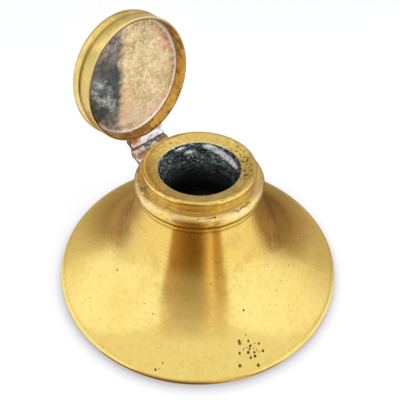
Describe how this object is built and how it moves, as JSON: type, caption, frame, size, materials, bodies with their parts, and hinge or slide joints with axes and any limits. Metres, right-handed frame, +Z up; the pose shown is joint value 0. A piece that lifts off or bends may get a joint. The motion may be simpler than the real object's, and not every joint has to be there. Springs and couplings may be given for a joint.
{
  "type": "inkwell",
  "caption": "Desk inkwell with a wide flared brass foot, a turned collar, a pottery ink pot and a shallow hinged cap lid that swings open to a right angle.",
  "frame": {"origin": "centre of the felt's underside, on the table", "axes": "+Z up along the axis of the body, +Y towards the hinge at the back, +X along the hinge pin to the right seen from the front"},
  "size_m": [0.13, 0.13, 0.1065],
  "materials": {
    "body_brass": "satin, worn polish with fine pits",
    "collar_brass": "worn polish, pitted and stained round the mouth",
    "pottery": "matt, crusted with dried ink",
    "washer_leather": "matt",
    "cushion_felt": "matt",
    "weight_iron": "as cast",
    "plate_brass": "dull",
    "base_felt": "felt",
    "hinge_brass": "tarnished, copper tinted",
    "pin_brass": "tarnished",
    "hinge_solder": "solder washed, dull silver",
    "lid_brass": "satin, worn polish",
    "lining_metal": "patinated, dark at one side"
  },
  "bodies": {
    "body": {"body_shell": "body_brass", "neck_collar": "collar_brass", "ink_pot": "pottery", "pot_washer": "washer_leather", "pot_cushion": "cushion_felt", "base_weight": "weight_iron", "base_plate": "plate_brass", "base_felt": "base_felt", "hinge_body_leaf": "hinge_brass", "hinge_pin": "pin_brass"},
    "lid": {"lid_shell": "lid_brass", "lid_lining": "lining_metal", "hinge_lid_leaf": "hinge_solder"}
  },
  "joints": [
    {"name": "lid_hinge", "type": "hinge", "parent": "body", "child": "lid", "pos_m": [0, 0.03045, 0.0502], "axis": [-1, 0, 0], "range_deg": [-90, 0]}
  ]
}
